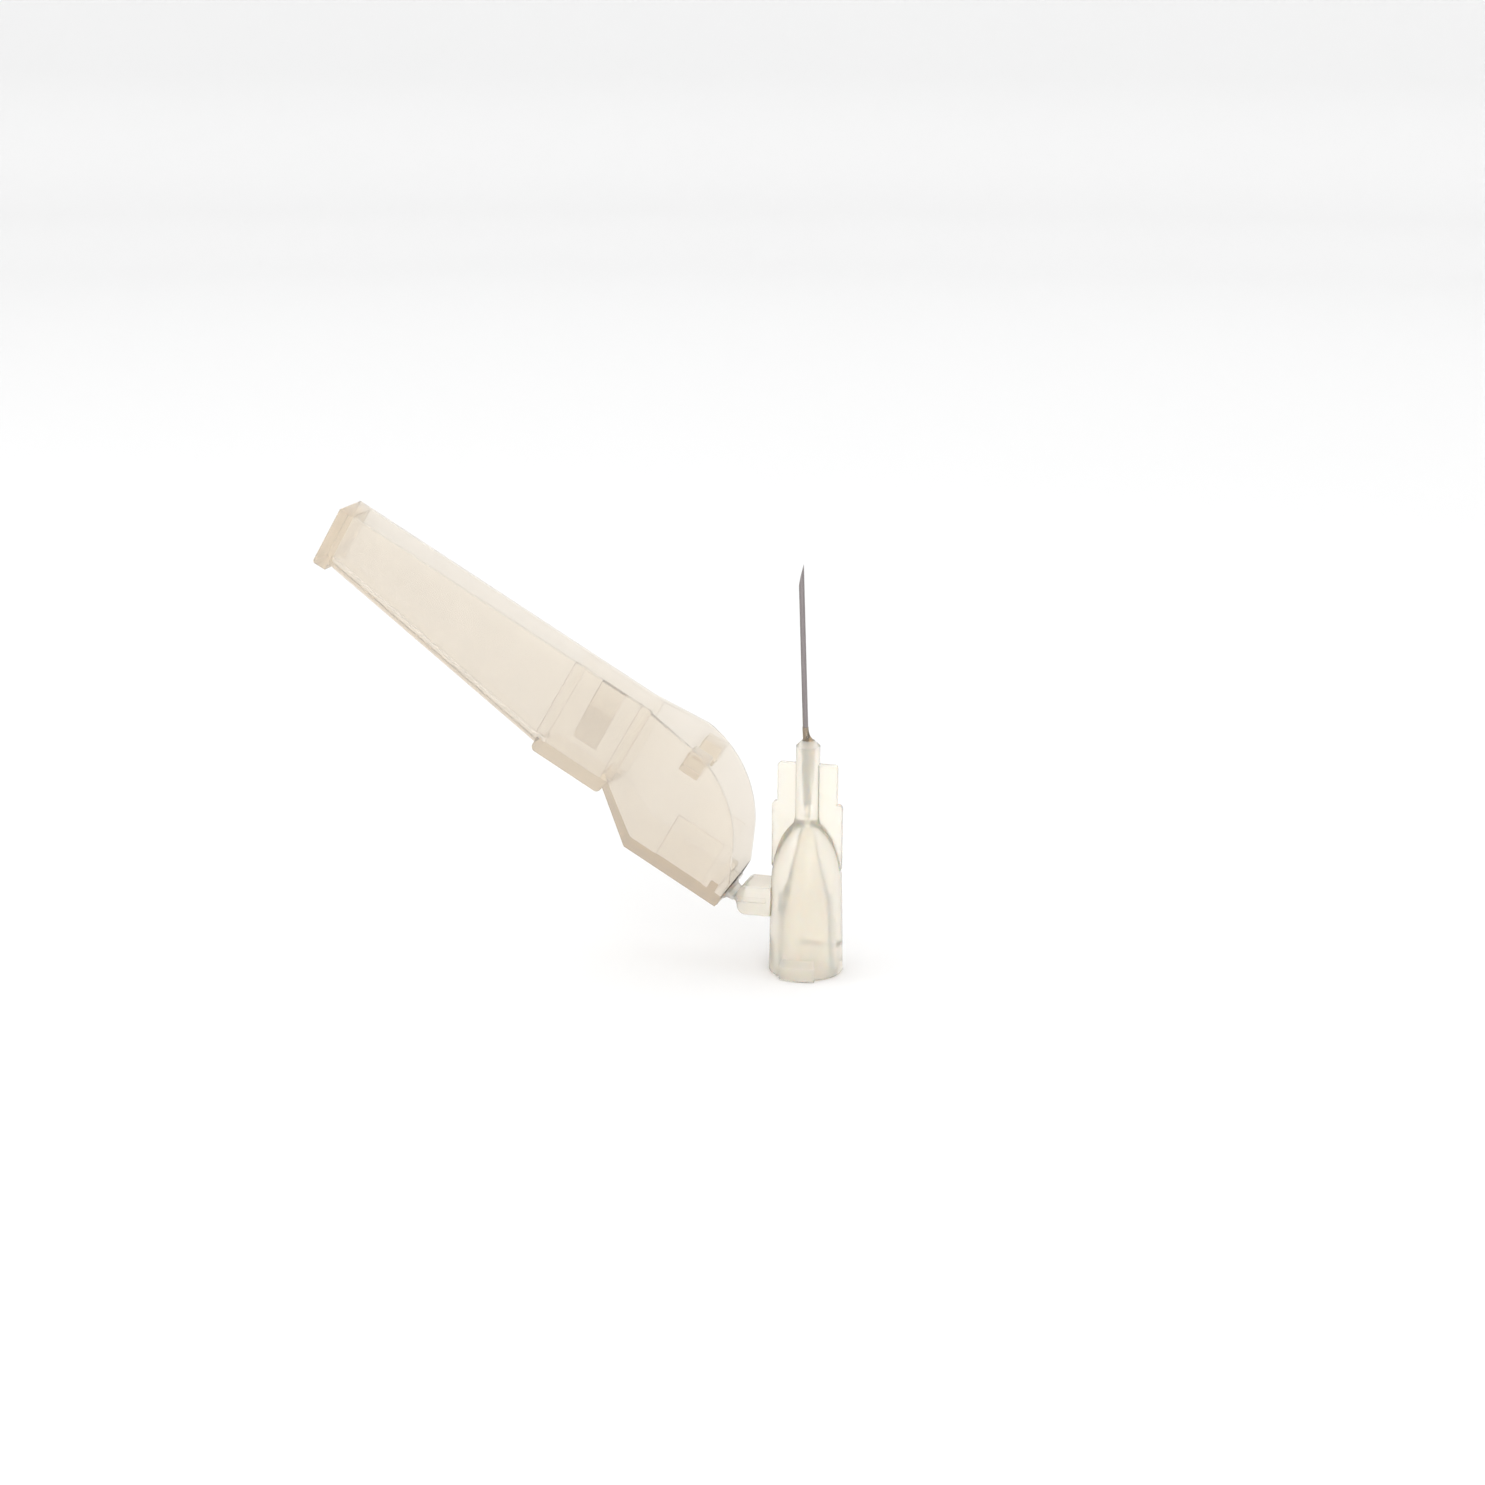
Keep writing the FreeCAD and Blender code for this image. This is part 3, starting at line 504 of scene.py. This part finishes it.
def film_strip(sizes):
    """A straight strip along X with its fold at 0, higher and wider towards its roots in arm and guard."""
    near, far = sizes.arm_gap + FILM_SEAT, -sizes.lip_gap - FILM_SEAT
    form = bmesh.new()
    bmesh.ops.create_cube(form, size=1.0)
    bmesh.ops.scale(form, verts=form.verts, vec=(near - far, sizes.film_width, 1.0))
    bmesh.ops.translate(form, verts=form.verts, vec=((near + far) / 2, 0, 0))
    for step in range(1, FILM_STEPS):
        place = far + (near - far) * step / FILM_STEPS
        bmesh.ops.bisect_plane(form, geom=everything(form), plane_co=(place, 0, 0), plane_no=(1, 0, 0))
    for vert in form.verts:
        root = sizes.film_root if vert.co.x > 0 else sizes.film_root * LIP_SHARE
        reach = min(abs(vert.co.x / (near if vert.co.x > 0 else far)), 1)
        height = sizes.film_thickness + (root - sizes.film_thickness) * reach ** FILM_CURVE
        vert.co.z = math.copysign(height / 2, vert.co.z)
        vert.co.y *= 1 + FILM_FLARE * reach ** FILM_CURVE
    lengthwise = [edge for edge in form.edges if edge.calc_face_angle() > SHARP
                  and abs(edge.verts[0].co.x - edge.verts[1].co.x) > MERGE]
    round_edges(form, lengthwise, sizes.edge_round)
    return form


class NEEDLE_OT_film(bpy.types.Operator):
    """Make the thin hinge film that joins arm and guard, bent to the modelled guard's tilt."""

    bl_idname = "needle.film"
    bl_label = "Hinge film"

    def execute(self, context):
        sizes = context.scene.needle_form
        form = film_strip(sizes)
        start, end = sizes.film_thickness, -sizes.film_thickness
        for vert in form.verts:
            share = min(max((start - vert.co.x) / (start - end), 0), 1)
            bent = share * share * (3 - 2 * share)
            vert.co = Matrix.Rotation(GUARD_TILT * bent, 4, "Y") @ vert.co + HINGE_LINE
        piece = piece_from(form, "hinge_film", None)
        even_shading(piece)
        paint(piece, film_plastic(context.scene.needle_plastic))
        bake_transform(piece)
        return {"FINISHED"}


class NEEDLE_OT_tube(bpy.types.Operator):
    """Make the ground steel tube."""

    bl_idname = "needle.tube"
    bl_label = "Tube"

    def execute(self, context):
        sizes = context.scene.needle_form
        length = (TUBE_TOP - TUBE_FOOT) / math.cos(sizes.tube_lean)
        form = bmesh.new()
        for radius in (sizes.tube_radius, sizes.tube_bore):
            bmesh.ops.create_circle(form, cap_ends=False, radius=radius, segments=TUBE_SIDES)
        bmesh.ops.bridge_loops(form, edges=form.edges[:])
        grown = bmesh.ops.extrude_face_region(form, geom=form.faces[:])["geom"]
        raised = [item for item in grown if isinstance(item, bmesh.types.BMVert)]
        bmesh.ops.translate(form, verts=raised, vec=(0, 0, length))
        bmesh.ops.recalc_face_normals(form, faces=form.faces)
        grind_point(form, sizes, Vector((sizes.tube_radius, 0, length)))
        bmesh.ops.rotate(form, verts=form.verts, cent=(0, 0, 0),
                         matrix=Matrix.Rotation(-sizes.tube_lean, 3, "Y"))
        bmesh.ops.translate(form, verts=form.verts,
                            vec=Vector((0, 0, TUBE_FOOT + sizes.tube_radius * math.sin(sizes.tube_lean))))
        piece = piece_from(form, "cannula_tube", "hub_body")
        paint(piece, drawn_steel(context.scene.needle_tube))
        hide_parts("cannula")
        return {"FINISHED"}


def grind_point(form, sizes, tip):
    """Grind the long bevel of the tube's point and the two facets that sharpen its tip."""
    grind(form, tip, Vector((-sizes.point_length, 0, 2 * sizes.tube_radius)).normalized())
    for side in (-1, 1):
        facet = Vector((-math.cos(LANCET_RISE) * math.cos(LANCET_TURN),
                        side * math.cos(LANCET_RISE) * math.sin(LANCET_TURN), math.sin(LANCET_RISE)))
        grind(form, tip - Vector((0, 0, LANCET_DROP)), facet)


def grind(form, place, outward):
    """Grind a flat onto the tube's point and close the wall behind it."""
    bmesh.ops.bisect_plane(form, geom=everything(form), dist=GRIND_MERGE, plane_co=place,
                           plane_no=outward, clear_outer=True)
    open_edges = [edge for edge in form.edges if edge.is_boundary]
    if count_loops(open_edges) == 2:
        bmesh.ops.bridge_loops(form, edges=open_edges)
    elif open_edges:
        bmesh.ops.holes_fill(form, edges=open_edges)


def count_loops(edges):
    """How many loops some edges make."""
    left, loops = set(edges), 0
    while left:
        loops += 1
        waiting = [left.pop()]
        while waiting:
            linked = {other for vert in waiting.pop().verts for other in vert.link_edges} & left
            left -= linked
            waiting.extend(linked)
    return loops


def leaned(sizes, height, follow):
    """The tube's axis at a height, followed fully at 1 and not at all at 0."""
    return Vector((-math.tan(sizes.tube_lean) * (height - TUBE_FOOT) * follow, 0, height))


def adhesive_rings(sizes):
    """The adhesive's outline from its foot up the outside and down the tube: height, radius, follow."""
    climb = BEAD_TOP - NECK_RIM
    skin = sizes.tube_radius + GLUE_SKIN
    grip = sizes.tube_radius - GLUE_GRIP
    rings = [(BEAD_FOOT, FILL_FOOT, 0), (NECK_RIM - FILL_DROP, FILL_TOP, 0)]
    for step in range(MENISCUS_STEPS + 1):
        share = step / MENISCUS_STEPS
        swell = (1 - share) ** MENISCUS_CURVE
        rings.append((NECK_RIM + climb * share, skin + (MENISCUS_FOOT - skin) * swell, 1 - swell))
    return rings + [(BEAD_TOP, grip, 1), (BEAD_FOOT, grip, 1)]


class NEEDLE_OT_adhesive(bpy.types.Operator):
    """Make the adhesive: a fill in the neck and a hollow-sided cone up the tube."""

    bl_idname = "needle.adhesive"
    bl_label = "Adhesive"

    def execute(self, context):
        sizes = context.scene.needle_form
        (height, radius, follow), *rest = adhesive_rings(sizes)
        centre = leaned(sizes, height, follow)
        form = bmesh.new()
        ring = bmesh.ops.create_circle(form, cap_ends=False, radius=radius, segments=TUBE_SIDES)["verts"]
        bmesh.ops.translate(form, verts=ring, vec=centre)
        base = edges = list({edge for vert in ring for edge in vert.link_edges})
        for height, wider, follow in rest:
            grown = bmesh.ops.extrude_edge_only(form, edges=edges)["geom"]
            ring = [item for item in grown if isinstance(item, bmesh.types.BMVert)]
            edges = [item for item in grown if isinstance(item, bmesh.types.BMEdge)
                     and all(vert in ring for vert in item.verts)]
            place = leaned(sizes, height, follow)
            bmesh.ops.scale(form, verts=ring, vec=(wider / radius, wider / radius, 1),
                            space=Matrix.Translation(-centre))
            bmesh.ops.translate(form, verts=ring, vec=place - centre)
            centre, radius = place, wider
        bmesh.ops.bridge_loops(form, edges=edges + base)
        bmesh.ops.recalc_face_normals(form, faces=form.faces)
        piece = piece_from(form, "adhesive_fillet", "hub_body")
        paint(piece, cured_adhesive(context.scene.needle_tube))
        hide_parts("adhesive_bead")
        return {"FINISHED"}


class NEEDLE_OT_stage(bpy.types.Operator):
    """Set the camera, the floor and the soft light."""

    bl_idname = "needle.stage"
    bl_label = "Stage"

    def execute(self, context):
        look = context.scene.needle_stage
        add_camera(context.scene, look)
        add_floor(look)
        add_lights(context.scene, look)
        return {"FINISHED"}


def add_camera(scene, look):
    """The photograph's camera: a long lens, a little above the object."""
    turn, rise, roll = look.azimuth, look.elevation, look.roll
    back = Vector((math.sin(turn) * math.cos(rise), -math.cos(turn) * math.cos(rise), math.sin(rise)))
    level = Vector((math.cos(turn), math.sin(turn), 0))
    upright = back.cross(level)
    right = level * math.cos(roll) + upright * math.sin(roll)
    up = back.cross(right)
    data = bpy.data.cameras.new("camera")
    data.sensor_fit = "HORIZONTAL"
    data.sensor_width = SENSOR
    data.lens = look.lens
    data.clip_start = NEAR_LIMIT
    data.clip_end = FAR_LIMIT
    camera = bpy.data.objects.new("camera", data)
    axes = Matrix((right, up, back)).transposed().to_4x4()
    camera.matrix_world = Matrix.Translation(Vector(look.target) + back * look.distance) @ axes
    scene.collection.objects.link(camera)
    scene.camera = camera


def floor_plaster(look):
    """Matt pale floor."""
    material, tree, output = nodes_of("floor")
    shader = tree.nodes.new("ShaderNodeBsdfPrincipled")
    shader.inputs["Base Color"].default_value = (*look.floor_colour, 1)
    shader.inputs["Roughness"].default_value = FLOOR_ROUGHNESS
    shader.inputs["Specular IOR Level"].default_value = FLOOR_GLOSS
    tree.links.new(shader.outputs["BSDF"], output.inputs["Surface"])
    return material


def add_floor(look):
    """A plain pale floor just under the open rim, which sweeps up all round."""
    form = bmesh.new()
    wide, rise = look.floor_size, look.floor_size * SWEEP
    # Level to where the sweep starts, through the sweep in thirds, then straight up
    outline = ((0, 0), (wide / 3, 0), (wide - rise, 0), (wide - rise / 3, rise / 9), (wide, rise / 2),
               (wide, wide / 2))
    profile = [form.verts.new((reach, 0, height - FLOOR_GAP)) for reach, height in outline]
    edges = [form.edges.new(pair) for pair in zip(profile, profile[1:])]
    bmesh.ops.spin(form, geom=profile + edges, cent=(0, 0, 0), axis=(0, 0, 1), angle=math.tau,
                   steps=FLOOR_SIDES, use_merge=True)
    bmesh.ops.remove_doubles(form, verts=form.verts, dist=MERGE)
    bmesh.ops.recalc_face_normals(form, faces=form.faces)
    for face in form.faces:
        face.smooth = True
    mesh = bpy.data.meshes.new("floor")
    form.to_mesh(mesh)
    form.free()
    floor = bpy.data.objects.new("floor", mesh)
    bpy.context.scene.collection.objects.link(floor)
    paint(floor, floor_plaster(look))


def add_light(scene, look, name, place, size, power):
    """A round soft light that points at the camera's target."""
    data = bpy.data.lights.new(name, "AREA")
    data.shape = "DISK"
    data.size = size
    data.energy = power
    lamp = bpy.data.objects.new(name, data)
    aim = Vector(look.target) - Vector(place)
    lamp.matrix_world = Matrix.Translation(place) @ aim.to_track_quat("-Z", "Y").to_matrix().to_4x4()
    scene.collection.objects.link(lamp)


def add_lights(scene, look):
    """A white surround, a soft light low in front at the right and a weaker one at the left."""
    world = bpy.data.worlds.new("studio")
    world.use_nodes = True
    background = world.node_tree.nodes["Background"]
    background.inputs["Color"].default_value = (1, 1, 1, 1)
    background.inputs["Strength"].default_value = look.surround
    scene.world = world
    add_light(scene, look, "key", KEY_PLACE, KEY_SIZE, look.key_power)
    add_light(scene, look, "side", SIDE_PLACE, SIDE_SIZE, look.key_power * SIDE_SHARE)
    scene.view_settings.view_transform = "Standard"
    scene.cycles.max_bounces = BOUNCES
    scene.cycles.diffuse_bounces = DIFFUSE_BOUNCES
    scene.cycles.transmission_bounces = BOUNCES
    scene.cycles.transparent_max_bounces = BOUNCES


class NEEDLE_PT_sidebar(bpy.types.Panel):
    """Sizes, finishes and pieces of the needle."""

    bl_idname = "NEEDLE_PT_sidebar"
    bl_label = "Safety needle"
    bl_space_type = "VIEW_3D"
    bl_region_type = "UI"
    bl_category = "Needle"

    def draw(self, context):
        for group in GROUPS:
            settings = getattr(context.scene, group)
            box = self.layout.box()
            for name in settings.bl_rna.properties.keys():
                if name not in ("rna_type", "name"):
                    box.prop(settings, name)
        for step in STEPS:
            self.layout.operator(step.bl_idname)


GROUPS = {
    "needle_plastic": PlasticLook,
    "needle_tube": TubeLook,
    "needle_form": MouldingForm,
    "needle_stage": StageLook,
}
STEPS = (NEEDLE_OT_stage, NEEDLE_OT_hub, NEEDLE_OT_guard, NEEDLE_OT_film, NEEDLE_OT_tube, NEEDLE_OT_adhesive)


def register():
    """Make the settings, the operators and the panel known."""
    for group in GROUPS.values():
        bpy.utils.register_class(group)
    for name, group in GROUPS.items():
        setattr(bpy.types.Scene, name, bpy.props.PointerProperty(type=group))
    for part in (*STEPS, NEEDLE_PT_sidebar):
        bpy.utils.register_class(part)


def unregister():
    """Take them away again, last first."""
    for part in (NEEDLE_PT_sidebar, *reversed(STEPS)):
        bpy.utils.unregister_class(part)
    for name in GROUPS:
        delattr(bpy.types.Scene, name)
    for group in reversed(list(GROUPS.values())):
        bpy.utils.unregister_class(group)


def main():
    """Build the stage and all pieces."""
    register()
    bpy.ops.needle.stage()
    bpy.ops.needle.hub()
    bpy.ops.needle.guard()
    bpy.ops.needle.film()
    bpy.ops.needle.tube()
    bpy.ops.needle.adhesive()


if __name__ == "__main__":
    main()
